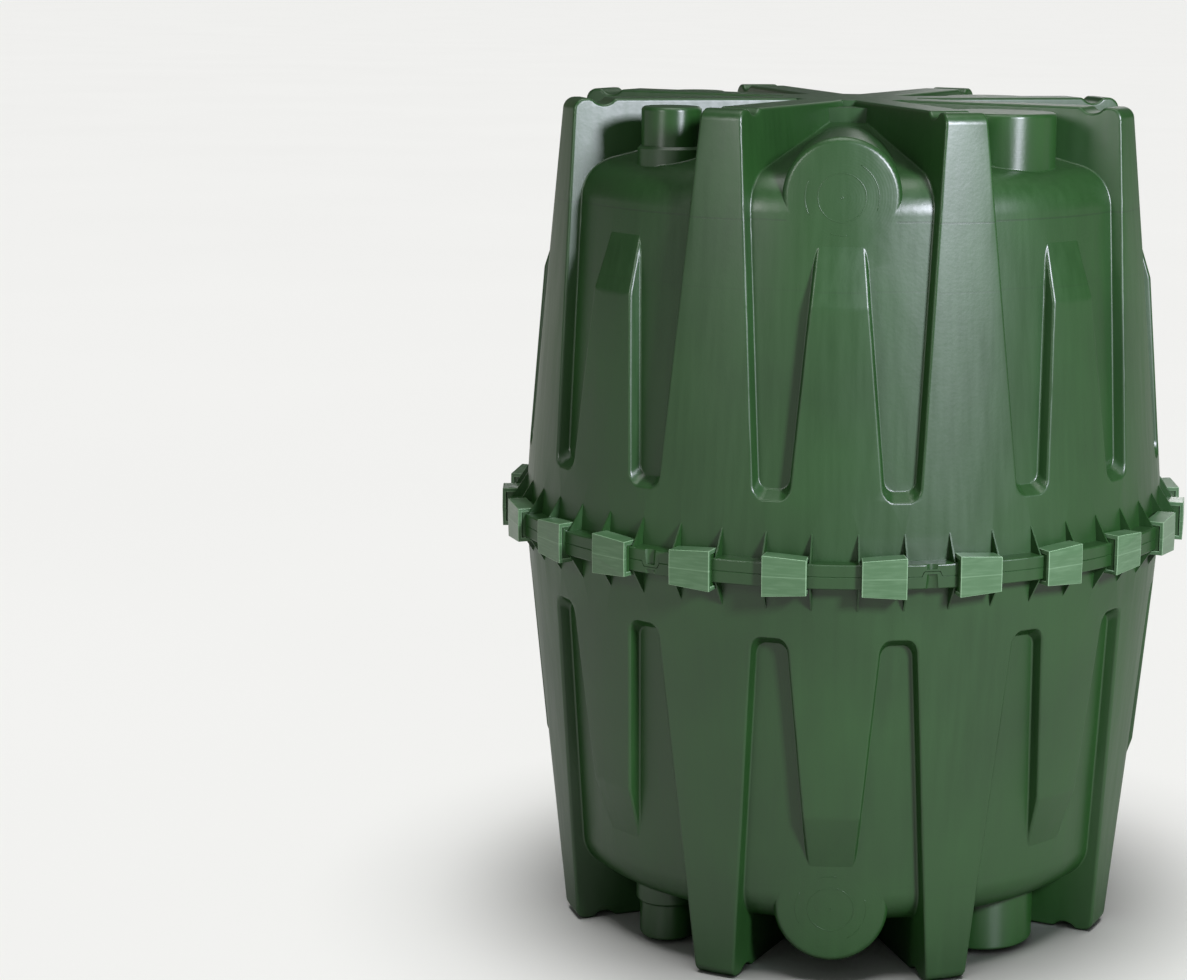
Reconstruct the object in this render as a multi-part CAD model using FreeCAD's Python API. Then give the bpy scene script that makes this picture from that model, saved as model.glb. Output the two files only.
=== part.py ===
"""Rainwater tank: two identical moulded half shells, clipped together at mid height.

Millimetres, +Z up. The origin is on the ground under the middle of the tank, and the
front pocket faces -Y. A half shell is drawn in its own frame: its parting plane is z = 0
and its arms end at z = HALF. It is made of equal sectors, one for each pocket, which meet
in the middle planes of the legs. Angles run from -Y towards +X.
"""
import FreeCAD, Part
import functools
import math
import os

# Overall envelope of the tank
HEIGHT = 1600.0             # ground to the tops of the arms
PARTING_R = 632.0           # outer radius at the parting plane
TOP_R = 563.0               # outer radius at the ends of the arms
WALL = 6.0                  # thickness of the moulding
RIM_ROUND = 6.0             # outer edges of the legs, arms, shields and grooves
FLOOR_ROUND = 4.0           # inner edges along the pocket walls and the deck

# Legs, which run over the deck as arms
LEGS = 8
LEG_TOP_WIDTH = 79.0        # at the end of the arm
LEG_BASE_WIDTH = 210.0      # at the parting plane
ARM_END_ROUND = 22.0        # outer top corner of each arm
NOTCH_RADIUS = 27.5         # half-round notch across each arm
NOTCH_DEPTH = 11.0
NOTCH_INSET = 57.0          # from the end of the arm to the middle of the notch
NOTCH_MOUTH_ROUND = 10.0

# Pockets between the legs, each with a raised shield in the middle
POCKET_DEPTH = 24.0
SHIELD_BASE_WIDTH = 191.0   # at the parting plane
SHIELD_TAPER = 0.092        # side slope, per side
SHIELD_BREAK_Z = 465.0      # where the sloped facet starts
SHIELD_TOP_Z = 567.0        # where the facet runs out on the pocket wall
SHIELD_BREAK_ROUND = 30.0
GROOVE_END_Z = 124.0        # lower end of each groove beside the shield, at its rim
GROOVE_END_RISE = 15.0      # how far that end climbs from the rim to the groove floor
GROOVE_END_ROUND = 22.0     # corners of that end

# Deck and hub, measured down from the arm tops
DECK_DROP = 38.0            # deck at the hub wall
DECK_PITCH = 0.234          # fall of the deck per millimetre outwards
SHOULDER_ROUND = 80.0
HUB_REACH = 193.0           # axis to the lower hub wall
HUB_STEP = 11.0             # lower hub below the arm tops
HUB_TOP_REACH = 130.0       # axis to the upper hub wall

# Domes and closed pipe stubs that stand in the pockets
DOME_RADIUS = 105.0
DOME_DROP = 148.0           # dome axis below the arm tops
DOME_ROUND = 13.0
WIDE_STUB_DIA = 200.0
WIDE_STUB_REACH = 402.0     # axis of the tank to the axis of the stub
WIDE_STUB_DROP = 8.0        # stub end below the arm tops
NARROW_STUB_DIA = 110.0
NARROW_STUB_REACH = 450.0
NARROW_STUB_DROP = 7.0
COLLAR_DIA = 124.0
COLLAR_DROP = 78.0          # top of the collar below the arm tops
COLLAR_CHAMFER = 5.0
STUB_ROUND = 8.0
FOOT_ROUND = 3.0            # where a stub stands on the deck

# Flange at the parting plane
FLANGE_R = 661.0
FLANGE_HEIGHT = 22.0        # of one half
FLANGE_ROUND = 3.0
PARTING_BEVEL = 1.0         # small bevel that draws the parting line
FIN_R = 657.0
FIN_TOP_Z = 70.0
FIN_THICKNESS = 3.0
SEAL_R = 645.0              # middle of the sealing cord
SEAL_DIA = 9.0
SEAL_CLEARANCE = 0.3

# Tongues that line the two halves up, and the recesses that take them
TONGUE_ANGLES = [-30.0, 165.0]
TONGUE_BASE_WIDTH = 37.0
TONGUE_END_WIDTH = 28.0
TONGUE_HEIGHT = 9.0
TONGUE_DEPTH = 9.0
TONGUE_CLEARANCE = 1.0
SCOOP_WIDE_R = 15.0         # half-round hollow in the flange behind each tongue
SCOOP_NARROW_R = 11.0
SCOOP_OFFSET = 6.0          # axis of the hollow outside the flange

# Wedge clips that pull the two flanges together
CLIPS_PER_SECTOR = 3
CLIP_SEAT_R = 667.0         # outside of the wedge pads
CLIP_WALL = 7.75
CLIP_LIP_R = 640.0          # inner ends of the clip's lips
CLIP_HALF_ANGLE = 3.4
CLIP_CREASE = 0.8           # how far the outside stands out at mid height
PAD_LOW = 1.75              # pad height at its thin end
PAD_HIGH = 7.0
CLIP_CLEARANCE = 0.25

# Worked out from the sizes above
HALF = HEIGHT / 2
PITCH = 360.0 / LEGS
CLIP_PITCH = PITCH / CLIPS_PER_SECTOR
ENVELOPE_SLOPE = (PARTING_R - TOP_R) / HALF
LEG_SLOPE = (LEG_BASE_WIDTH - LEG_TOP_WIDTH) / 2 / HALF
GROOVE_END_SLOPE = GROOVE_END_RISE / POCKET_DEPTH
AXIS = FreeCAD.Vector(0, 0, 1)
ORIGIN = FreeCAD.Vector(0, 0, 0)
PAST = 20.0                 # how far cutters and hidden ends run past a surface
FAR_R = PARTING_R + 2 * PAST
NEAR = 0.01                 # how close an edge lies to the face it belongs to
JOIN = 0.005                # faces closer than this become one when solids are joined


def vec(x, y, z):
    return FreeCAD.Vector(x, y, z)


def turned(shape, degrees):
    """A copy turned about the tank's axis."""
    copy = shape.copy()
    copy.rotate(ORIGIN, AXIS, degrees)
    return copy


def turned_point(r, degrees, z):
    angle = math.radians(degrees)
    return vec(r * math.sin(angle), -r * math.cos(angle), z)


def rounded_face(corners):
    """A face in the XZ plane through corners (x, z, radius), each rounded by its radius."""
    points = [vec(x, 0, z) for x, z, _ in corners]
    edges = []
    joins = []
    for index, (_, _, radius) in enumerate(corners):
        here = points[index]
        back = (points[index - 1] - here).normalize()
        ahead = (points[(index + 1) % len(points)] - here).normalize()
        if radius == 0:
            joins.append((here, here))
            continue
        half_angle = back.getAngle(ahead) / 2
        reach = radius / math.tan(half_angle)
        start, stop = here + back * reach, here + ahead * reach
        middle = here + (back + ahead).normalize() * (radius / math.sin(half_angle) - radius)
        edges.append(Part.Arc(start, middle, stop).toShape())
        joins.append((start, stop))
    for index, (_, stop) in enumerate(joins):
        start = joins[(index + 1) % len(joins)][0]
        edges.append(Part.makeLine(stop, start))
    return Part.Face(Part.Wire(Part.__sortEdges__(edges)))


def sector(corners):
    """A profile of (radius, height, rounding) corners, turned through one pocket's sector."""
    face = turned(rounded_face(corners), -90 - PITCH / 2)
    return face.revolve(ORIGIN, AXIS, PITCH)


def full_round(corners, reach):
    """The same turned all round, about an upright axis in the middle of the pocket."""
    body = rounded_face(corners).revolve(ORIGIN, AXIS, 360)
    body.translate(vec(0, -reach, 0))
    return body


def radial_prism(corners, start, stop):
    """An outline of (tangential, height, rounding) corners, run outwards along -Y."""
    face = rounded_face(corners)
    face.translate(vec(0, -start, 0))
    return face.extrude(vec(0, start - stop, 0))


def tapered_prism(half_width, low, high, start, stop):
    """A prism between two side faces, which stand half_width(z) from the middle plane."""
    return radial_prism([
        (-half_width(low), low, 0), (half_width(low), low, 0),
        (half_width(high), high, 0), (-half_width(high), high, 0)], start, stop)


def middle_of(edge):
    return edge.valueAt((edge.FirstParameter + edge.LastParameter) / 2)


def radius_at(point):
    return math.hypot(point.x, point.y)


def rounded(solid, radius, belongs):
    """The solid with a rounding on each edge whose middle point passes the test."""
    edges = [edge for edge in solid.Edges if belongs(middle_of(edge))]
    return solid.makeFillet(radius, edges).Solids[0]


def envelope_r(z):
    return PARTING_R - ENVELOPE_SLOPE * z


def pocket_r(z):
    return envelope_r(z) - POCKET_DEPTH


def leg_half(z):
    return LEG_BASE_WIDTH / 2 - LEG_SLOPE * z


def shield_half(z):
    return SHIELD_BASE_WIDTH / 2 - SHIELD_TAPER * z


def deck_z(r):
    return HALF - DECK_DROP - DECK_PITCH * (r - HUB_REACH)


def groove_end_z(r, inset):
    """Height of the sloped lower end of a groove."""
    drop = inset * math.hypot(1, GROOVE_END_SLOPE)
    return GROOVE_END_Z - drop + GROOVE_END_SLOPE * (envelope_r(GROOVE_END_Z) - r)


def bottom_z(inset):
    """The outside stops on the parting plane, and the hollow runs past it."""
    return -PAST if inset else 0.0


def shoulder_of(inset):
    """Radius and height where the pocket wall would meet the deck without its rounding."""
    base_r = pocket_r(0) - inset
    z = (deck_z(base_r) - inset) / (1 - DECK_PITCH * ENVELOPE_SLOPE)
    return base_r - ENVELOPE_SLOPE * z, z


def core(inset):
    """The pocket wall, its shoulder and the deck."""
    base_z = bottom_z(inset)
    shoulder_r, shoulder_z = shoulder_of(inset)
    top_r = HUB_TOP_REACH / 2
    top_z = deck_z(top_r) - inset
    return sector([
        (0, base_z, 0),
        (pocket_r(base_z) - inset, base_z, 0),
        (shoulder_r, shoulder_z, SHOULDER_ROUND - inset),
        (top_r, top_z, 0),
        (0, top_z, 0),
    ])


def leg_block(inset, side):
    """A leg and its arm between their two side faces."""
    block = tapered_prism(
        lambda z: leg_half(z) - inset, -2 * PAST, HALF + 2 * PAST, HUB_TOP_REACH / 2, FAR_R + PAST)
    return turned(block, side * PITCH / 2)


def shield_block(inset):
    """A shield between its two side faces, under its sloped upper facet."""
    low, high = -2 * PAST, SHIELD_TOP_Z + PAST
    break_r, end_r = envelope_r(SHIELD_BREAK_Z) - inset, pocket_r(SHIELD_TOP_Z) - inset
    lean = (end_r - break_r) / (SHIELD_TOP_Z - SHIELD_BREAK_Z)
    far_r = FAR_R + PAST
    inner_r = PARTING_R / 2
    facet = sector([
        (inner_r, low, 0), (far_r, low, 0),
        (far_r, SHIELD_BREAK_Z + (far_r - break_r) / lean, 0),
        (end_r + lean * PAST, high, 0), (inner_r, high, 0),
    ])
    sides = tapered_prism(lambda z: shield_half(z) - inset, low, high, inner_r, FAR_R + 2 * PAST)
    return sides.common(facet)


def pocket_space(inset):
    """The open space of a pocket above its groove ends, cut deeper than its wall and deck."""
    shoulder_r, shoulder_z = shoulder_of(inset + PAST)
    hub_r = HUB_TOP_REACH - PAST
    deep_r = shoulder_r + ENVELOPE_SLOPE * (shoulder_z - GROOVE_END_Z)
    high = HALF + PAST
    space = sector([
        (FAR_R, groove_end_z(FAR_R, inset), 0), (FAR_R, high, 0),
        (hub_r, high, 0), (hub_r, deck_z(hub_r) - inset - PAST, 0),
        (shoulder_r, shoulder_z, 0), (deep_r, groove_end_z(deep_r, inset), 0),
    ])
    return space.cut([leg_block(inset, -1), leg_block(inset, 1), shield_block(inset)])


def notch(inset, side):
    """A half-round notch across an arm."""
    width = LEG_BASE_WIDTH
    cutter = Part.makeCylinder(
        NOTCH_RADIUS + inset, width,
        vec(-width / 2, NOTCH_INSET - TOP_R, HALF + NOTCH_RADIUS - NOTCH_DEPTH), vec(1, 0, 0))
    return turned(cutter, side * PITCH / 2)


def frame(inset):
    """The legs, arms, shield and foot of the wall, cut from one tapered envelope."""
    base_z, top_z = bottom_z(inset), HALF - inset
    whole = sector([
        (0, base_z, 0),
        (envelope_r(base_z) - inset, base_z, 0),
        (envelope_r(top_z) - inset, top_z, ARM_END_ROUND - inset),
        (0, top_z, 0),
    ])
    body = whole.cut([pocket_space(inset), notch(inset, -1), notch(inset, 1)]).Solids[0]
    body = rounded(body, GROOVE_END_ROUND + inset, lambda p: on_groove_corner(p, inset))
    if inset:
        return body
    body = body.makeFillet(NOTCH_MOUTH_ROUND, [edge for edge in body.Edges if across_arm(edge)]).Solids[0]
    body = rounded(body, SHIELD_BREAK_ROUND, on_shield_break)
    return rounded(body, RIM_ROUND, lambda p: on_leg_side(p) and on_envelope(p))


def on_envelope(point):
    return abs(radius_at(point) - envelope_r(point.z)) < NEAR


def on_leg_side(point):
    """True beside a leg, on one of its side faces."""
    side = math.copysign(math.radians(PITCH / 2), point.x)
    across = abs(point.x * math.cos(side) + point.y * math.sin(side))
    return abs(across - leg_half(point.z)) < NEAR


def on_groove_corner(point, inset):
    """True on the short edges between a groove's lower end and its two sides."""
    r = radius_at(point)
    inside = r < envelope_r(GROOVE_END_Z) - inset - NEAR and r > pocket_r(GROOVE_END_Z) - inset - PAST + NEAR
    return inside and abs(point.z - groove_end_z(r, inset)) < NEAR


def on_shield_break(point):
    return abs(point.x) < NEAR and abs(point.z - SHIELD_BREAK_Z) < NEAR and on_envelope(point)


def across_arm(edge):
    """True for the straight edges at the mouth of a notch."""
    middle = middle_of(edge)
    if abs(middle.z - HALF) > NEAR or radius_at(middle) < HUB_REACH:
        return False
    along = edge.tangentAt(edge.FirstParameter)
    arm = turned_point(1, math.copysign(PITCH / 2, middle.x), 0)
    return edge.Curve.TypeId.endswith("Line") and abs(along.dot(arm)) < NEAR


def hub_step(reach, inset, top_z):
    """One sector of an eight-sided step of the hub, with its flat side in the pocket."""
    corner_r = (reach - inset) / math.cos(math.radians(PITCH / 2))
    base_z = deck_z(reach) - WALL * 4
    corners = [turned_point(corner_r, side * PITCH / 2, base_z) for side in (-1, 1)]
    face = Part.Face(Part.makePolygon([vec(0, 0, base_z)] + corners + [vec(0, 0, base_z)]))
    return face.extrude(vec(0, 0, top_z - inset - base_z))


def dome(inset):
    """A barrel that runs out from the hub to a round face in the pocket wall."""
    start = HUB_REACH / 2
    barrel = Part.makeCylinder(
        DOME_RADIUS - inset, PARTING_R - start, vec(0, -start, HALF - DOME_DROP), vec(0, -1, 0))
    limit = sector([
        (0, 0, 0), (pocket_r(0) - inset, 0, 0), (pocket_r(HALF) - inset, HALF, 0), (0, HALF, 0)])
    block = barrel.common(limit)
    if inset == 0:
        block = rounded(block, DOME_ROUND, lambda p: -p.y > pocket_r(HALF) - DOME_ROUND)
    return [block]


def stub(diameter, reach, top_drop, inset):
    """A closed pipe stub with a rounded end, standing on the deck."""
    base_z = deck_z(reach + diameter / 2) - SHOULDER_ROUND
    top_z = HALF - top_drop - inset
    radius = diameter / 2 - inset
    return full_round([
        (0, base_z, 0), (radius, base_z, 0), (radius, top_z, max(STUB_ROUND - inset, 1.0)),
        (0, top_z, 0)], reach)


def wide_stub(inset):
    return [stub(WIDE_STUB_DIA, WIDE_STUB_REACH, WIDE_STUB_DROP, inset)]


def narrow_stub(inset):
    """The narrow stub stands in a wider collar with a chamfered top."""
    base_z = deck_z(NARROW_STUB_REACH + COLLAR_DIA / 2) - SHOULDER_ROUND
    top_z = HALF - COLLAR_DROP - inset
    radius = COLLAR_DIA / 2 - inset
    collar = full_round([
        (0, base_z, 0), (radius, base_z, 0), (radius, top_z - COLLAR_CHAMFER, 0),
        (radius - COLLAR_CHAMFER, top_z, 0), (0, top_z, 0)], NARROW_STUB_REACH)
    return [collar, stub(NARROW_STUB_DIA, NARROW_STUB_REACH, NARROW_STUB_DROP, inset)]


# What stands in each pocket, from the front pocket on towards +X
POCKET_FITTINGS = [dome, wide_stub, dome, wide_stub, dome, narrow_stub, dome, narrow_stub]
# Diameter and reach of what stands upright on the deck
STUB_FEET = {wide_stub: (WIDE_STUB_DIA, WIDE_STUB_REACH), narrow_stub: (COLLAR_DIA, NARROW_STUB_REACH)}


@functools.lru_cache
def form(inset, fitting):
    """The closed form of one sector, drawn smaller all round by the inset."""
    pieces = [
        frame(inset), hub_step(HUB_REACH, inset, HALF - HUB_STEP), hub_step(HUB_TOP_REACH, inset, HALF)]
    body = core(inset).multiFuse(pieces + fitting(inset), JOIN).removeSplitter().Solids[0]
    if inset:
        return body
    body = rounded(body, FLOOR_ROUND, lambda p: on_leg_side(p) and on_pocket_wall(p))
    if fitting in STUB_FEET:
        body = rounded(body, FOOT_ROUND, lambda p: on_foot(p, *STUB_FEET[fitting]))
    return body


def on_pocket_wall(point):
    return abs(radius_at(point) - pocket_r(point.z)) < NEAR


def on_foot(point, diameter, reach):
    """True where an upright stub meets the deck."""
    beside = abs(math.hypot(point.x, point.y + reach) - diameter / 2) < NEAR
    return beside and abs(point.z - deck_z(radius_at(point))) < NEAR


def clip_side(index):
    """Neighbouring clips are driven on from opposite ends."""
    return 1 if index % 2 == 0 else -1


def clip_half_width(r):
    return r * math.tan(math.radians(CLIP_HALF_ANGLE))


def wedge(thin_z, thick_z, half_width, side, start, stop):
    """A prism that is symmetric about the parting plane and taller at one end."""
    left, right = (thin_z, thick_z) if side > 0 else (thick_z, thin_z)
    return radial_prism([
        (-half_width, -left, 0), (half_width, -right, 0),
        (half_width, right, 0), (-half_width, left, 0)], start, stop)


def pad(side):
    """A wedge on the flange that one clip is driven on to."""
    block = wedge(FLANGE_HEIGHT + PAD_LOW, FLANGE_HEIGHT + PAD_HIGH,
                  clip_half_width(CLIP_LIP_R), side, envelope_r(FIN_TOP_Z) - WALL, CLIP_SEAT_R + PAST)
    return block.common(Part.makeCylinder(CLIP_SEAT_R, HALF))


def fin():
    """A thin triangle that stiffens the flange."""
    inner_r = envelope_r(FIN_TOP_Z) - WALL / 2
    face = Part.Face(Part.makePolygon([
        vec(0, -inner_r, 0), vec(0, -FIN_R, 0), vec(0, -FIN_R, FLANGE_HEIGHT),
        vec(0, -envelope_r(FIN_TOP_Z), FIN_TOP_Z), vec(0, -inner_r, FIN_TOP_Z), vec(0, -inner_r, 0)]))
    face.translate(vec(-FIN_THICKNESS / 2, 0, 0))
    return face.extrude(vec(FIN_THICKNESS, 0, 0))


def flange(pocket):
    """The flange of one sector with its fins and wedge pads."""
    inner_r = envelope_r(FIN_TOP_Z) - WALL / 2
    ring = sector([
        (inner_r, 0, 0), (FLANGE_R - PARTING_BEVEL, 0, 0), (FLANGE_R, PARTING_BEVEL, 0),
        (FLANGE_R, FLANGE_HEIGHT, FLANGE_ROUND), (inner_r, FLANGE_HEIGHT, 0)])
    reach = FLANGE_R + PAST
    slice_of_ring = sector([(0, 0, 0), (reach, 0, 0), (reach, HALF, 0), (0, HALF, 0)])
    pieces = [ring]
    for step in range(CLIPS_PER_SECTOR + 1):
        angle = step * CLIP_PITCH - PITCH / 2
        side = clip_side(pocket * CLIPS_PER_SECTOR + step)
        pieces.append(turned(pad(side), angle).common(slice_of_ring))
    for step in range(2 * CLIPS_PER_SECTOR):
        pieces.append(turned(fin(), (step + 0.5) * CLIP_PITCH / 2 - PITCH / 2))
    return pieces


def tongue(clearance, way):
    """A tongue that reaches past the parting plane, or with a clearance the recess for it."""
    base, end = TONGUE_BASE_WIDTH / 2 + clearance, TONGUE_END_WIDTH / 2 + clearance
    tip = way * (TONGUE_HEIGHT + clearance)
    root = -way * FLANGE_HEIGHT / 2 if clearance == 0 else -way * PAST
    corner = TONGUE_HEIGHT / 3
    outer_r = FLANGE_R + (PAST if clearance else 0)
    return radial_prism([
        (-base, root, 0), (-base, 0, 0), (-end, tip, corner),
        (end, tip, corner), (base, 0, 0), (base, root, 0)],
        FLANGE_R - TONGUE_DEPTH - clearance, outer_r)


def scoop(low_z):
    """A half-round hollow in the outside of the flange, wider towards its open end."""
    high_z = FLANGE_HEIGHT + PAST
    return Part.makeCone(
        SCOOP_NARROW_R, SCOOP_WIDE_R, high_z - low_z, vec(0, -FLANGE_R - SCOOP_OFFSET, low_z), AXIS)


def with_tongues(shell):
    """The shell with its tongues, and recesses where the tongues of the other half come."""
    wall = TONGUE_HEIGHT / 2
    tongues = [turned(tongue(0, -1), angle) for angle in TONGUE_ANGLES]
    cuts = [turned(scoop(wall - TONGUE_HEIGHT), angle) for angle in TONGUE_ANGLES]
    for angle in TONGUE_ANGLES:
        cuts.append(turned(tongue(TONGUE_CLEARANCE, 1), 180 - angle))
        cuts.append(turned(scoop(wall + TONGUE_HEIGHT), 180 - angle))
    return shell.multiFuse(tongues, JOIN).cut(cuts)


def half_shell():
    """Eight pocket sectors of the moulding, joined in the middle planes of the legs."""
    sectors = []
    for pocket, fitting in enumerate(POCKET_FITTINGS):
        outside = form(0, fitting).multiFuse(flange(pocket), JOIN)
        hollow = form(WALL, fitting)
        sectors.append(turned(outside.cut(hollow), pocket * PITCH))
    shell = with_tongues(sectors[0].multiFuse(sectors[1:], JOIN))
    seal_groove = Part.makeTorus(SEAL_R, SEAL_DIA / 2 + SEAL_CLEARANCE)
    return shell.cut(seal_groove).removeSplitter().Solids[0]


def clip(side):
    """A C-shaped clip with tapered lips, open towards the tank."""
    seat_r = CLIP_SEAT_R + CLIP_CLEARANCE
    outer_r = seat_r + CLIP_WALL
    inside = [FLANGE_HEIGHT + height + CLIP_CLEARANCE for height in (PAD_LOW, PAD_HIGH)]
    outside = [height + CLIP_WALL for height in inside]
    width = clip_half_width(outer_r)
    outer = wedge(*outside, width, side, CLIP_LIP_R, outer_r)
    inner = wedge(*inside, width, side, CLIP_LIP_R - PAST, seat_r)
    spread = clip_half_width(outer_r + PAST)
    plan = Part.Face(Part.makePolygon([
        vec(x, -y, -HALF) for x, y in (
            (0, 0), (spread, outer_r + PAST), (-spread, outer_r + PAST), (0, 0))]))
    block = outer.common(plan.extrude(vec(0, 0, HEIGHT)))
    return creased(block, outer_r, max(outside)).cut(inner).Solids[0]


def creased(block, outer_r, height):
    """The block with its outside sloped away from a crease at mid height."""
    low_r = outer_r - CLIP_CREASE
    outline = Part.Face(Part.makePolygon([
        vec(-outer_r, -r, z) for r, z in (
            (0, -height), (low_r, -height), (outer_r, 0), (low_r, height), (0, height), (0, -height))]))
    return block.common(outline.extrude(vec(2 * outer_r, 0, 0)))


def main():
    os.makedirs("parts", exist_ok=True)
    shell = half_shell()
    nodes = {"upper_shell": shell, "lower_shell": shell.copy()}
    nodes["lower_shell"].rotate(ORIGIN, vec(1, 0, 0), 180)
    nodes["seal_ring"] = Part.makeTorus(SEAL_R, SEAL_DIA / 2)
    for index in range(LEGS * CLIPS_PER_SECTOR):
        angle = index * CLIP_PITCH - PITCH / 2
        nodes[f"clip_{index + 1:02d}"] = turned(clip(clip_side(index)), angle)
    for name, shape in nodes.items():
        shape.translate(vec(0, 0, HALF))
        shape.exportStep(f"parts/{name}.step")
        print(name, shape.ShapeType, len(shape.Solids), shape.isValid(),
              f"{shape.Volume / 1e6:.3f} litres", len(shape.Faces), "faces")


if __name__ == "__main__":
    main()
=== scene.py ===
# %% [markdown]
# # A rainwater tank in two clipped halves
#
# The tank is two identical half shells of moulded polyethylene, joined at mid height by 24 wedge
# clips. Their shapes come from the CAD model, which is loaded here as a fixed frame and never moved.
# Blender adds what the solids leave out: the finish of each material, the fine marks that the mould
# left on the plastic, and the light and camera that show them.

# %% Load the tank
import math
import bmesh
import bpy
from mathutils import Matrix, Vector


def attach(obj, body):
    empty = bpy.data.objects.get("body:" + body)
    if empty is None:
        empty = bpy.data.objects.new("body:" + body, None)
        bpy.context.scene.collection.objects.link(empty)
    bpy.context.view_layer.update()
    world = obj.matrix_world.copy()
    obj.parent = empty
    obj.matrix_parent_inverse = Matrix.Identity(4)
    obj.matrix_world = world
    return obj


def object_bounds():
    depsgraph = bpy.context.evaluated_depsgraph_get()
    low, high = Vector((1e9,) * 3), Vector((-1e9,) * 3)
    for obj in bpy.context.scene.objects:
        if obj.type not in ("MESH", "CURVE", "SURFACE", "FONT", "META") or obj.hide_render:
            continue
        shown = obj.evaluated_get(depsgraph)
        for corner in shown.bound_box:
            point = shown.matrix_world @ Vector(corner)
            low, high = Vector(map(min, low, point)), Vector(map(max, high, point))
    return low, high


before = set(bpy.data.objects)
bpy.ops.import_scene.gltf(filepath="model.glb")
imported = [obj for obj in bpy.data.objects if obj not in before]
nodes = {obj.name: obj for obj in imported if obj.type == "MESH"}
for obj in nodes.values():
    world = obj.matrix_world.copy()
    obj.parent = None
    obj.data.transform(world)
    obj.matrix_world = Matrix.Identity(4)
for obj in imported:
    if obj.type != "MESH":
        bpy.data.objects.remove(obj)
cad_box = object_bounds()
low, high = cad_box
middle = (low + high) / 2
print("nodes:", len(nodes), "size in metres:", [round(side, 4) for side in high - low])

# %% [markdown]
# ## The camera
#
# The photograph was taken from a little above the tank, with a long lens. Its lens axis meets the
# picture to the right of the middle, so the camera is shifted instead of turned: a turn would make the
# upright edges lean. The distance, height and pitch were fitted to edges of the tank in the photograph.

# %% Place the camera
PICTURE_WIDTH, PICTURE_HEIGHT = 1187, 980    # pixels
FOCAL_LENGTH = 2543                          # pixels
LENS_AXIS = (844, 466)                       # the pixel that the lens points at
SENSOR_WIDTH = 36                            # millimetres
CAMERA_DISTANCE = 4.979                      # metres, level, from the axis of the tank
CAMERA_HEIGHT = 1.835                        # metres above the floor
CAMERA_SWING = math.radians(1.16)            # to the right of the front pocket
CAMERA_PITCH = math.radians(10.96)           # downwards
CAMERA_ROLL = math.radians(0.98)

lens = bpy.data.cameras.new("photo_camera")
lens.sensor_width = SENSOR_WIDTH
lens.lens = SENSOR_WIDTH * FOCAL_LENGTH / PICTURE_WIDTH
lens.shift_x = (PICTURE_WIDTH / 2 - LENS_AXIS[0]) / PICTURE_WIDTH
lens.shift_y = (LENS_AXIS[1] - PICTURE_HEIGHT / 2) / PICTURE_WIDTH
camera = bpy.data.objects.new("photo_camera", lens)
bpy.context.scene.collection.objects.link(camera)
bpy.context.scene.camera = camera
camera.matrix_world = (
    Matrix.Rotation(CAMERA_SWING, 4, "Z") @ Matrix.Translation((0, -CAMERA_DISTANCE, CAMERA_HEIGHT))
    @ Matrix.Rotation(math.pi / 2 - CAMERA_PITCH, 4, "X") @ Matrix.Rotation(CAMERA_ROLL, 4, "Z"))
seen = camera.matrix_world.inverted() @ middle
print("the middle of the tank is at pixel", [
    round(LENS_AXIS[0] - seen.x / seen.z * FOCAL_LENGTH),
    round(LENS_AXIS[1] + seen.y / seen.z * FOCAL_LENGTH)])

# %% [markdown]
# ## Colours and nodes
#
# Colours are written as sRGB hex values, as a paint chart gives them, and one function turns them into
# the linear values that Blender's shaders want. A second one adds a shader node, sets it up and links it,
# so a material reads as a list of what feeds what.

# %% Turn a hex colour to linear
def linear(hex_colour):
    """Red, green, blue and alpha, by the standard sRGB curve."""
    channels = [int(hex_colour[i:i + 2], 16) / 255 for i in (0, 2, 4)]
    return [c / 12.92 if c <= 0.04045 else ((c + 0.055) / 1.055) ** 2.4 for c in channels] + [1.0]


print("mid grey 808080 is", [round(c, 3) for c in linear("808080")])

# %% Add a node with its settings and links
def add_node(tree, kind, inputs, **settings):
    """Returns the new node's first output. An input takes a value, or the output that feeds it."""
    made = tree.nodes.new("ShaderNode" + kind)
    for name, value in settings.items():
        setattr(made, name, value)
    for name, value in inputs.items():
        usable = [socket for socket in made.inputs if socket.enabled]
        socket = usable[name] if isinstance(name, int) else next(s for s in usable if s.name == name)
        if isinstance(value, bpy.types.NodeSocket):
            tree.links.new(value, socket)
        else:
            socket.default_value = value
    return next((socket for socket in made.outputs if socket.enabled), None)


def new_material(name):
    """A material with an empty tree, the tree, and the Object coordinates in it."""
    material = bpy.data.materials.new(name)
    material.use_nodes = True
    tree = material.node_tree
    tree.nodes.clear()
    place = add_node(tree, "TexCoord", {}).node.outputs["Object"]
    return material, tree, place


print("helpers:", add_node.__name__, "and", new_material.__name__)

# %% [markdown]
# ## The floor and the light
#
# A studio shows a dark glossy moulding by what it mirrors, so the light is a few soft boxes. The main
# one stands high to the right. It draws the grey sheen on every face that leans that way, and it is small
# enough for the arms and stubs to throw a clear shadow. A weaker one stands to the left, a warm wall
# glows behind on the left, and two light the back. The pale floor has its own even wash from above, as a
# backdrop has in a studio, and the tank's lower half takes most of its light from that floor.

# %% Mix a matt white for the floor
FLOOR_PATCH = 2.5       # metres, the width of a slightly greyer patch

floor_material, tree, place = new_material("matt_white_floor")
shade = add_node(tree, "TexNoise", {"Vector": place, "Scale": 1 / FLOOR_PATCH, "Detail": 2.0})
floor_colour = add_node(
    tree, "Mix", {"Factor": shade, "A": linear("f0f0ee"), "B": linear("f4f4f2")}, data_type="RGBA")
matt = add_node(tree, "BsdfPrincipled", {
    "Base Color": floor_colour, "Roughness": 0.9, "Specular IOR Level": 0.1})
add_node(tree, "OutputMaterial", {"Surface": matt})
print("floor finish:", floor_material.name)

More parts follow.
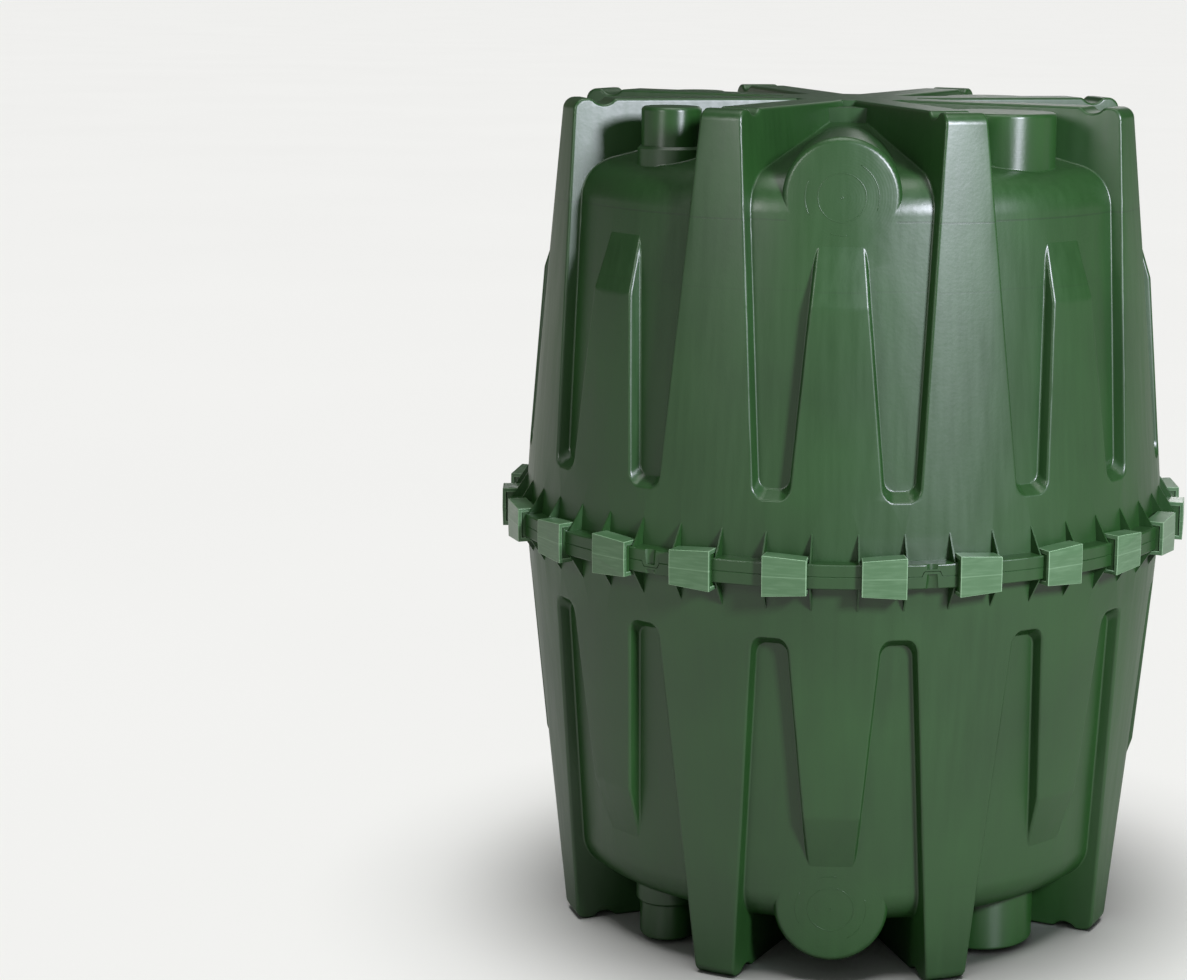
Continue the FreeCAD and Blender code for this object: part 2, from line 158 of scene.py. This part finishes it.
# %% Lay a pale floor
FLOOR_RADIUS = 400.0    # metres, so that its edge lies above the picture


def new_piece(name, shape, material):
    """Turns a finished bmesh into an object in the scene."""
    mesh = bpy.data.meshes.new(name)
    shape.to_mesh(mesh)
    shape.free()
    mesh.materials.append(material)
    piece = bpy.data.objects.new(name, mesh)
    bpy.context.scene.collection.objects.link(piece)
    return piece


sheet = bmesh.new()
bmesh.ops.create_circle(sheet, cap_ends=True, radius=FLOOR_RADIUS, segments=64)
bmesh.ops.translate(sheet, verts=sheet.verts, vec=(0, 0, low.z))
floor = new_piece("floor", sheet, floor_material)
print("the floor lies at", round(low.z, 4), "m")

# %% Hang the soft boxes
def hang(name, lamp, place, colour):
    """Puts a lamp in place, facing the middle of the tank, out of the camera's sight."""
    lamp.color = linear(colour)[:3]
    holder = bpy.data.objects.new(name, lamp)
    holder.location = place
    holder.rotation_euler = (middle - Vector(place)).to_track_quat("-Z", "Y").to_euler()
    holder.visible_camera = False
    bpy.context.scene.collection.objects.link(holder)
    print(name, lamp.type, "at", place)
    return holder


def soft_box(name, place, width, height, watts, colour):
    """An evenly lit rectangle, with its place and sides in metres."""
    lamp = bpy.data.lights.new(name, "AREA")
    lamp.shape = "RECTANGLE"
    lamp.size, lamp.size_y = width, height
    lamp.energy = watts
    return hang(name, lamp, place, colour)


boxes = [
    soft_box("key_right", (2.8, -3.8, 3.05), width=0.8, height=0.9, watts=560, colour="eeeeff"),
    soft_box("fill_left", (-2.2, -3.0, 2.6), width=1.0, height=1.0, watts=50, colour="ffffff"),
    soft_box("warm_wall", (-2.4, 2.6, 1.4), width=2.4, height=2.4, watts=3, colour="e8d8c4"),
    soft_box("rear_high", (0.8, 3.6, 2.6), width=1.4, height=1.4, watts=8, colour="ffffff"),
    soft_box("rear_low", (0.0, 6.0, 1.0), width=2.8, height=1.4, watts=90, colour="ffffff"),
]

# %% Light the ceiling and the floor
CEILING_HEIGHT = 5.0                  # metres
CEILING_SPREAD = math.radians(40)     # how wide a patch of ceiling seems to glow


def ceiling(name, strength):
    """Wide even light from straight above, in watts for each square metre that it falls on."""
    lamp = bpy.data.lights.new(name, "SUN")
    lamp.energy = strength
    lamp.angle = CEILING_SPREAD
    return hang(name, lamp, (middle.x, middle.y, CEILING_HEIGHT), "ffffff")


ceiling("ceiling", strength=1.6)
wash = ceiling("floor_wash", strength=1.3)

# %% Flag the lamps, so that the boxes miss the floor and the wash misses the tank
def light_only(lamps, name, state):
    """The floor alone is lit by these lamps, or all but the floor, as the state says."""
    flag = bpy.data.collections.new(name)
    flag.objects.link(floor)
    flag.collection_objects[0].light_linking.link_state = state
    for lamp in lamps:
        lamp.light_linking.receiver_collection = flag
    print(name, [lamp.name for lamp in lamps])


light_only(boxes, "all_but_the_floor", "EXCLUDE")
light_only([wash], "the_floor_alone", "INCLUDE")

# %% Let the surroundings glow a little
SURROUNDINGS_GLOW = 0.09

world = bpy.data.worlds.new("studio")
world.use_nodes = True
surroundings = world.node_tree.nodes["Background"]
surroundings.inputs["Color"].default_value = linear("ffffff")
surroundings.inputs["Strength"].default_value = SURROUNDINGS_GLOW
bpy.context.scene.world = world
bpy.context.scene.view_settings.view_transform = "Standard"
print("the surroundings glow at", SURROUNDINGS_GLOW)

# %% [markdown]
# ## Polyethylene of the half shells
#
# The halves are moulded from polyethylene that is dyed all through. That gives the eye one deep
# bottle green, a soft waxy gloss, and the marks of the mould: broad cloudy changes in tone, upright
# streaks, a fine grain over shallow waves, and two thin lines around the wall, as plates of a mould leave
# where they meet. All are drawn from Object coordinates, in metres, so they stay the right size on any
# face.

# %% Sizes of the marks
MM = 0.001                                  # metres
PARTING_Z = middle.z
CLOUD = 300 * MM                            # width of a cloudy patch
STREAK_WIDTH, STREAK_LENGTH = 14 * MM, 500 * MM
GRAIN = 6 * MM                              # real grain is about 0.5 mm, drawn coarser so that it shows
PEEL = 20 * MM                              # width of the shallow waves that mottle a sheen
print("a streak is", round(STREAK_LENGTH / STREAK_WIDTH), "times as long as wide")

# %% Lines where plates of the mould meet
PLATE_LINES = {490 * MM: 0.4, 611 * MM: 1.0}    # height from the parting plane, and how clear the line is
PLATE_LINE_WIDTH = 3.2 * MM
LOWER_LINES = 0.3                               # how clear they are on the lower half
HALF_BLEND = 10 * MM                            # from the parting plane to where that change is complete


def plate_lines(tree, axes, rise):
    """1 on a clear line, less on a faint one, and 0 elsewhere."""
    lines = 0.0
    for height, clear in PLATE_LINES.items():
        line = add_node(tree, "Math", {0: rise, 1: height, 2: PLATE_LINE_WIDTH / 2}, operation="COMPARE")
        lines = add_node(tree, "Math", {0: line, 1: clear, 2: lines}, operation="MULTIPLY_ADD")
    half = add_node(tree, "MapRange", {
        "Value": axes["Z"], "From Min": PARTING_Z - HALF_BLEND, "From Max": PARTING_Z + HALF_BLEND,
        "To Min": LOWER_LINES})
    return add_node(tree, "Math", {0: lines, 1: half}, operation="MULTIPLY")


print("plate lines at", [round(height, 3) for height in PLATE_LINES], "m from the parting plane")

# %% [markdown]
# The domes' faces and the pipe stubs look as if inserts that were turned on a lathe had shaped them, with
# fine lines that are thinner than a pixel. On a face they only roughen the sheen, so a bump does. Around
# a stub they draw each highlight out into an upright band, so there the gloss itself is stretched.

# %% Turned marks on the domes' faces
DOME_HEIGHT = 652 * MM        # middle of a dome's face, from the parting plane
DOME_RADIUS = 105 * MM
TURNING = 5 * MM              # spacing of the turned lines, about 1 mm on the real face and drawn coarser
DOME_FACE_OUT = 500 * MM      # a dome's face lies further out than this


def dome_marks(tree, axes, rise):
    """Two masks: 1 away from the domes' faces, and fine turned rings on those faces."""
    across = [add_node(tree, "Math", {0: axes[axis]}, operation="ABSOLUTE") for axis in ("X", "Y")]
    side = add_node(tree, "Math", {0: across[0], 1: across[1]}, operation="MINIMUM")
    out = add_node(tree, "Math", {0: across[0], 1: across[1]}, operation="MAXIMUM")
    climb = add_node(tree, "Math", {0: rise, 1: DOME_HEIGHT}, operation="SUBTRACT")
    spot = add_node(tree, "CombineXYZ", {"X": side, "Y": climb})
    reach = add_node(tree, "VectorMath", {0: spot}, operation="LENGTH").node.outputs["Value"]
    near = add_node(tree, "Math", {0: reach, 1: DOME_RADIUS}, operation="LESS_THAN")
    outer = add_node(tree, "Math", {0: out, 1: DOME_FACE_OUT}, operation="GREATER_THAN")
    on_face = add_node(tree, "Math", {0: near, 1: outer}, operation="MULTIPLY")
    phase = add_node(tree, "Math", {0: reach, 1: 2 * math.pi / TURNING}, operation="MULTIPLY")
    wave = add_node(tree, "Math", {0: phase}, operation="SINE")
    rings = add_node(tree, "Math", {0: wave, 1: on_face}, operation="MULTIPLY")
    off_face = add_node(tree, "Math", {0: 1.0, 1: on_face}, operation="SUBTRACT")
    return off_face, rings


print("a dome's face has about", round(DOME_RADIUS / TURNING), "turned lines")

# %% Turned marks on the pipe stubs
STUB_RADII = {1: 100 * MM, -1: 55 * MM}       # wide stubs stand on the +X side, narrow ones on the other
STUB_REACHES = {1: 402 * MM, -1: 450 * MM}    # from the axis of the tank, along a diagonal
STUB_MARGIN = 1 * MM                          # the mask reaches this far past a stub
STUB_CUT = 2 * MM                             # width of a turned line, finer on a real stub, drawn coarser
STUB_STRETCH = 0.75                           # how far the turned lines draw a highlight out upright


def stub_marks(tree, axes, rise):
    """Two masks: 1 on the pipe stubs, and uneven turned lines around them."""
    depth = add_node(tree, "Math", {0: axes["Y"]}, operation="ABSOLUTE")
    plan = add_node(tree, "CombineXYZ", {"X": axes["X"], "Y": depth})
    on_stub = 0.0
    for side, radius in STUB_RADII.items():
        along = STUB_REACHES[side] / math.sqrt(2)
        away = add_node(tree, "VectorMath", {0: plan, 1: (side * along, along, 0)}, operation="DISTANCE")
        away = away.node.outputs["Value"]
        near = add_node(tree, "Math", {0: away, 1: radius + STUB_MARGIN}, operation="LESS_THAN")
        on_stub = add_node(tree, "Math", {0: near, 1: on_stub}, operation="ADD")
    cut = add_node(
        tree, "TexNoise", {"W": rise, "Scale": 1 / STUB_CUT, "Detail": 0.0}, noise_dimensions="1D")
    return on_stub, add_node(tree, "Math", {0: cut, 1: on_stub}, operation="MULTIPLY")


print("stubs:", [round(2 * radius, 3) for radius in STUB_RADII.values()], "m across")

# %% [markdown]
# A smooth wall mirrors the bright floor most strongly where it turns out of sight. In the photograph the
# tank goes dark towards its outline instead, and looks round. A fine texture in the plastic or a studio
# with dark sides could both do that, and the picture doesn't tell which. A rule stands in for the cause:
# the shader knows how far a face is turned away from the viewer, and takes gloss from the walls by that.
# The tops keep theirs, because they lie flat and mirror the pale backdrop.

# %% Dull the walls towards the outline
FULL_GLOSS, EDGE_GLOSS = 0.5, 0.12    # specular level of a face seen squarely, and aslant
TURN_START, TURN_END = 0.25, 0.80     # how far a face is turned away: 0 is square, 1 is edge on
WALL_UP, TOP_UP = 0.3, 0.7            # how far up a face looks: less is a wall, and more is a top


def satin(tree):
    """Two values: 1 on walls and 0 on tops, and the specular level."""
    normal = add_node(tree, "NewGeometry", {}).node.outputs["Normal"]
    upward = add_node(tree, "SeparateXYZ", {0: normal}).node.outputs["Z"]
    wall = add_node(tree, "MapRange", {
        "Value": upward, "From Min": WALL_UP, "From Max": TOP_UP, "To Min": 1.0, "To Max": 0.0})
    turn = add_node(tree, "LayerWeight", {"Blend": 0.5}).node.outputs["Facing"]
    aslant = add_node(tree, "MapRange", {"Value": turn, "From Min": TURN_START, "From Max": TURN_END})
    dulled = add_node(tree, "Math", {0: aslant, 1: wall}, operation="MULTIPLY")
    return wall, add_node(tree, "MapRange", {"Value": dulled, "To Min": FULL_GLOSS, "To Max": EDGE_GLOSS})


print("gloss falls from", FULL_GLOSS, "to", EDGE_GLOSS)

# %% How much each mark shows
STREAK_TONE = 0.35                        # how much a streak changes the tone, where a cloud counts as 1
TONE_DARK, TONE_LIGHT = 0.45, 0.90        # sums of the two that give the dark and the light colour
LINE_TONE = 0.40                          # how far a plate line goes towards its own colour
STREAK_LOW, STREAK_HIGH = 0.3, 0.7        # most of the streaks' values lie between these
SHELL_SMOOTH, SHELL_ROUGH = 0.36, 0.42    # roughness of a smooth streak, and of a rough one
RELIEF_HEIGHT, RELIEF_STRENGTH = 0.6 * MM, 0.25
# Each mark's share of that height. The lines lie below the wall.
RELIEF = {"grain": 0.50, "peel": 0.90, "rings": 0.08, "hoops": 0.30, "lines": -0.20}
print("the marks in relief:", ", ".join(RELIEF))

# %% The polyethylene
def moulded_polyethylene(name, dark, light, line_colour):
    material, tree, place = new_material(name)
    axes = add_node(tree, "SeparateXYZ", {0: place}).node.outputs
    rise = add_node(tree, "Math", {0: axes["Z"], 1: PARTING_Z}, operation="SUBTRACT")
    rise = add_node(tree, "Math", {0: rise}, operation="ABSOLUTE")
    off_face, rings = dome_marks(tree, axes, rise)
    on_stub, hoops = stub_marks(tree, axes, rise)
    lines = add_node(tree, "Math", {0: plate_lines(tree, axes, rise), 1: off_face}, operation="MULTIPLY")

    cloud = add_node(tree, "TexNoise", {"Vector": place, "Scale": 1 / CLOUD, "Detail": 3.0})
    run = add_node(tree, "Mapping", {
        "Vector": place, "Scale": (1 / STREAK_WIDTH, 1 / STREAK_WIDTH, 1 / STREAK_LENGTH)})
    streak = add_node(tree, "TexNoise", {"Vector": run, "Scale": 1.0, "Detail": 3.0})
    grain = add_node(tree, "TexNoise", {"Vector": place, "Scale": 1 / GRAIN, "Detail": 1.0})
    peel = add_node(tree, "TexNoise", {"Vector": place, "Scale": 1 / PEEL, "Detail": 2.0})

    tone = add_node(tree, "Math", {0: streak, 1: STREAK_TONE, 2: cloud}, operation="MULTIPLY_ADD")
    tone = add_node(tree, "MapRange", {"Value": tone, "From Min": TONE_DARK, "From Max": TONE_LIGHT})
    colour = add_node(tree, "Mix", {"Factor": tone, "A": linear(dark), "B": linear(light)}, data_type="RGBA")
    faint = add_node(tree, "Math", {0: lines, 1: LINE_TONE}, operation="MULTIPLY")
    colour = add_node(
        tree, "Mix", {"Factor": faint, "A": colour, "B": linear(line_colour)}, data_type="RGBA")
    roughness = add_node(tree, "MapRange", {
        "Value": streak, "From Min": STREAK_LOW, "From Max": STREAK_HIGH,
        "To Min": SHELL_SMOOTH, "To Max": SHELL_ROUGH})
    wall, sheen = satin(tree)
    turned = add_node(tree, "Math", {0: on_stub, 1: wall}, operation="MULTIPLY")
    stretch = add_node(tree, "Math", {0: turned, 1: STUB_STRETCH}, operation="MULTIPLY")
    upright = add_node(tree, "CombineXYZ", {"Z": 1.0})

    marks = {"grain": grain, "peel": peel, "rings": rings, "hoops": hoops, "lines": lines}
    relief = 0.0
    for mark, share in RELIEF.items():
        relief = add_node(tree, "Math", {0: marks[mark], 1: share, 2: relief}, operation="MULTIPLY_ADD")
    bump = add_node(tree, "Bump", {
        "Strength": RELIEF_STRENGTH, "Distance": RELIEF_HEIGHT, "Height": relief})
    plastic = add_node(tree, "BsdfPrincipled", {
        "Base Color": colour, "Roughness": roughness, "IOR": 1.51, "Specular IOR Level": sheen,
        "Anisotropic": stretch, "Tangent": upright, "Normal": bump})
    add_node(tree, "OutputMaterial", {"Surface": plastic})
    return material


shell_material = moulded_polyethylene("moulded_polyethylene", "163113", "1b3b17", "10230f")
print(shell_material.name, "has", len(shell_material.node_tree.nodes), "nodes")

# %% [markdown]
# The half shells come as loose faces, each shaded by itself, so a seam shows down the middle of every leg
# where two of them meet. A weld joins the faces, a split keeps the real corners sharp, and weighted
# normals let the large faces rule the shading of the narrow roundings beside them. All three are live
# modifiers, so the mesh itself stays as it came.

# %% Dress the shells and shade them as one skin
CORNER = math.radians(25)     # a sharper turn than this is a corner
TOUCHING = 0.01 * MM          # points that are closer than this are joined


def dress(piece, *materials):
    """Gives a piece these materials in place of those it came with."""
    piece.data.materials.clear()
    for material in materials:
        piece.data.materials.append(material)


for name in ("upper_shell", "lower_shell"):
    shell = nodes[name]
    dress(shell, shell_material)
    shell.modifiers.new("join_faces", "WELD").merge_threshold = TOUCHING
    shell.modifiers.new("keep_corners", "EDGE_SPLIT").split_angle = CORNER
    shell.modifiers.new("even_shading", "WEIGHTED_NORMAL").mode = "FACE_AREA"
    print(name, [modifier.name for modifier in shell.modifiers])

# %% [markdown]
# ## Rings on the domes
#
# The round face of each dome carries a thin raised ring, a wider one that is broken in places, and a
# small one in the middle, as the turned steps of an insert would leave. A bead of this kind could be
# drawn as a bump, but it catches the light along one side, so it is made as a thin solid. A small circle
# is spun about the middle of the face, and the flat ring is then slid on to the round wall. One dome is
# made first. The other three of a half are turned copies, and the lower half mirrors the upper.

# %% The wall that the rings lie on
WALL_AT_PARTING = 608 * MM    # radius of the pocket's wall at the parting plane
WALL_TAPER = 0.08625          # how much that radius loses for each metre of height


def slide_to_wall(shape):
    """Moves flat work, drawn at its own height, straight back to the front of the wall."""
    for vert in shape.verts:
        radius = WALL_AT_PARTING - WALL_TAPER * vert.co.z
        vert.co.y -= math.sqrt(radius ** 2 - vert.co.x ** 2)


print("wall radius at a dome:", round(WALL_AT_PARTING - WALL_TAPER * DOME_HEIGHT, 4), "m")

# %% Spin the beads
BEAD_WIDTH, BEAD_HEIGHT = 1.8 * MM, 0.25 * MM
BEAD_SIDES = 12
BEAD_STEP, FEWEST_STEPS = 5, 12                   # degrees to a step of the spin, and the fewest steps
FULL_TURN = 360                                   # degrees
RING_RADII = {"full": 42.5 * MM, "worn": 65 * MM, "middle": 2 * MM}
WORN_ARCS = ((-62, 20), (80, 108), (150, 208))    # degrees that are left of the worn ring


def bead(shape, radius, first, last):
    """A thin bead about the Y axis, between two angles in degrees, with pointed ends where it is open."""
    made = bmesh.ops.create_circle(shape, segments=BEAD_SIDES, radius=1.0)["verts"]
    bmesh.ops.scale(shape, verts=made, vec=(BEAD_WIDTH / 2, BEAD_HEIGHT, 1))
    bmesh.ops.translate(shape, verts=made, vec=(radius, 0, 0))
    bmesh.ops.rotate(shape, verts=made, cent=(0, 0, 0), matrix=Matrix.Rotation(math.radians(first), 3, "Y"))
    edges = list({edge for vert in made for edge in vert.link_edges})
    whole = last - first == FULL_TURN
    bmesh.ops.spin(
        shape, geom=made + edges, cent=(0, 0, 0), axis=(0, 1, 0), angle=math.radians(last - first),
        steps=max(FEWEST_STEPS, round((last - first) / BEAD_STEP)), use_merge=whole)
    open_ends = () if whole else (first, last)
    for end in open_ends:
        tip = Matrix.Rotation(math.radians(end), 3, "Y") @ Vector((radius, 0, 0))
        opening = [vert for vert in shape.verts if vert.is_boundary and (vert.co - tip).length < BEAD_WIDTH]
        bmesh.ops.pointmerge(shape, verts=opening, merge_co=tip)


dome_rings = bmesh.new()
bead(dome_rings, RING_RADII["full"], 0, FULL_TURN)
bead(dome_rings, RING_RADII["middle"], 0, FULL_TURN)
for first, last in WORN_ARCS:
    bead(dome_rings, RING_RADII["worn"], first, last)
print("one dome's rings:", len(dome_rings.faces), "faces")

# %% Set them on all eight domes
NO_MERGE = -1.0               # a mirror with this distance joins nothing


def whole_shape(shape):
    return shape.verts[:] + shape.edges[:] + shape.faces[:]


bmesh.ops.translate(dome_rings, verts=dome_rings.verts, vec=(0, 0, DOME_HEIGHT))
slide_to_wall(dome_rings)
first_dome = whole_shape(dome_rings)
for quarter in (1, 2, 3):
    copy = bmesh.ops.duplicate(dome_rings, geom=first_dome)["geom"]
    bmesh.ops.rotate(
        dome_rings, verts=[part for part in copy if isinstance(part, bmesh.types.BMVert)], cent=(0, 0, 0),
        matrix=Matrix.Rotation(quarter * math.pi / 2, 3, "Z"))
bmesh.ops.mirror(
    dome_rings, geom=whole_shape(dome_rings), matrix=Matrix.Identity(4), merge_dist=NO_MERGE, axis="Z")
bmesh.ops.translate(dome_rings, verts=dome_rings.verts, vec=(0, 0, PARTING_Z))
print("rings on eight domes:", len(dome_rings.faces), "faces")

# %% Close the rings and make them a piece
bmesh.ops.remove_doubles(dome_rings, verts=dome_rings.verts, dist=TOUCHING)
bmesh.ops.recalc_face_normals(dome_rings, faces=dome_rings.faces)
for face in dome_rings.faces:
    face.smooth = True
ring_piece = new_piece("dome_rings", dome_rings, shell_material)
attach(ring_piece, "root")
print(ring_piece.name, "has", len(ring_piece.data.polygons), "faces")

# %% [markdown]
# ## Polypropylene of the clips
#
# The clips are moulded in a paler, satin green polypropylene, which whitens where it is bent or rubbed.
# Clips of this kind are hammered on, so the eye reads them by some scuffs along the rim, by their pale
# narrow edges, which are partly whitened plastic and partly a painted highlight, and by a line across the
# middle, as the two halves of a mould leave, with a painted highlight along it.

# %% Marks on the clips
CLIP_CLOUD = 60 * MM                       # width of a cloudy patch
CREASE_WIDTH = 2.0 * MM                    # of the mould line across a clip
CREASE_HIGHLIGHT, CREASE_RELIEF = 0.20, -0.8    # how far its painted highlight goes towards the pale colour, and its depth
SCUFF_WIDTH, SCUFF_LENGTH = 4 * MM, 40 * MM
SCUFF_LOW, SCUFF_HIGH = 0.45, 0.8          # noise below the first is clean, above the second fully rubbed
SCUFF_PALE = 0.16                          # how far a scuff goes towards the rubbed colour
CLIP_SMOOTH, CLIP_ROUGH = 0.28, 0.42       # roughness at the two ends of the clouds
CLIP_RELIEF_HEIGHT, CLIP_RELIEF_STRENGTH = 0.3 * MM, 0.2
print("a scuff is", round(SCUFF_LENGTH / SCUFF_WIDTH), "times as long as wide")

# %% The polypropylene
def moulded_polypropylene(name, dark, light, rubbed_and_highlight_colour):
    material, tree, place = new_material(name)
    height = add_node(tree, "SeparateXYZ", {0: place}).node.outputs["Z"]
    crease = add_node(tree, "Math", {0: height, 1: PARTING_Z, 2: CREASE_WIDTH / 2}, operation="COMPARE")
    cloud = add_node(tree, "TexNoise", {"Vector": place, "Scale": 1 / CLIP_CLOUD, "Detail": 3.0})
    grain = add_node(tree, "TexNoise", {"Vector": place, "Scale": 1 / GRAIN, "Detail": 1.0})
    rub = add_node(tree, "Mapping", {
        "Vector": place, "Scale": (1 / SCUFF_LENGTH, 1 / SCUFF_LENGTH, 1 / SCUFF_WIDTH)})
    scuff = add_node(tree, "TexNoise", {"Vector": rub, "Scale": 1.0, "Detail": 3.0})
    scuff = add_node(tree, "MapRange", {
        "Value": scuff, "From Min": SCUFF_LOW, "From Max": SCUFF_HIGH, "To Min": 0.0, "To Max": SCUFF_PALE})
    # Scuffs are real wear, while the pale line along the crease is a painted highlight
    scuffs_and_highlight = add_node(tree, "Math", {0: crease, 1: CREASE_HIGHLIGHT, 2: scuff}, operation="MULTIPLY_ADD")
    colour = add_node(
        tree, "Mix", {"Factor": cloud, "A": linear(dark), "B": linear(light)}, data_type="RGBA")
    colour = add_node(tree, "Mix", {"Factor": scuffs_and_highlight, "A": colour, "B": linear(rubbed_and_highlight_colour)}, data_type="RGBA")
    roughness = add_node(tree, "MapRange", {"Value": cloud, "To Min": CLIP_SMOOTH, "To Max": CLIP_ROUGH})
    relief = add_node(tree, "Math", {0: crease, 1: CREASE_RELIEF, 2: grain}, operation="MULTIPLY_ADD")
    bump = add_node(tree, "Bump", {
        "Strength": CLIP_RELIEF_STRENGTH, "Distance": CLIP_RELIEF_HEIGHT, "Height": relief})
    plastic = add_node(tree, "BsdfPrincipled", {
        "Base Color": colour, "Roughness": roughness, "IOR": 1.49, "Normal": bump})
    add_node(tree, "OutputMaterial", {"Surface": plastic})
    return material


clip_material = moulded_polypropylene("moulded_polypropylene", "345133", "3e5b3c", "7b9777")
# The bevelled edges get a paler copy, which is partly whitened plastic and partly a painted highlight
edge_highlight_material = moulded_polypropylene("whitened_and_highlit_polypropylene", "587455", "698566", "8aa386")
print(clip_material.name, "has", len(clip_material.node_tree.nodes), "nodes")

# %% [markdown]
# The solids have sharp edges. Each clip gets a weld, which joins its loose triangles, and a bevel that
# rounds only the edges between faces. A bevel can give its own faces another material, so the pale edge
# needs no mask. That paler material is partly whitened plastic and partly a painted highlight.

# %% Round the clips' edges and paint them pale, as whitening and a painted highlight
CLIP_EDGE = 1.6 * MM
CLIP_CORNER = math.radians(30)    # a sharper turn than this is an edge
clips = [node for name, node in nodes.items() if name.startswith("clip_")]
for clip in clips:
    dress(clip, clip_material, edge_highlight_material)
    clip.modifiers.new("join_triangles", "WELD").merge_threshold = TOUCHING
    bevel = clip.modifiers.new("round_edges", "BEVEL")
    bevel.width = CLIP_EDGE
    bevel.segments = 2
    bevel.limit_method = "ANGLE"
    bevel.angle_limit = CLIP_CORNER
    bevel.harden_normals = True
    bevel.material = 1            # the second material in the list, the pale one with the painted highlight
print("clips:", len(clips))

# %% [markdown]
# ## Rubber of the seal
#
# Two halves that hold water need a seal between their flanges, so a round cord of black rubber is taken
# to lie there. Nothing of it shows from outside, so a plain finish with a faint pale bloom does.

# %% The rubber
BLOOM = 12 * MM               # width of a pale patch on the rubber


def extruded_rubber(name):
    material, tree, place = new_material(name)
    bloom = add_node(tree, "TexNoise", {"Vector": place, "Scale": 1 / BLOOM, "Detail": 4.0})
    colour = add_node(
        tree, "Mix", {"Factor": bloom, "A": linear("141414"), "B": linear("232424")}, data_type="RGBA")
    rubber = add_node(tree, "BsdfPrincipled", {"Base Color": colour, "Roughness": 0.7, "IOR": 1.52})
    add_node(tree, "OutputMaterial", {"Surface": rubber})
    return material


seal_material = extruded_rubber("extruded_rubber")
dress(nodes["seal_ring"], seal_material)
print("seal:", seal_material.name)
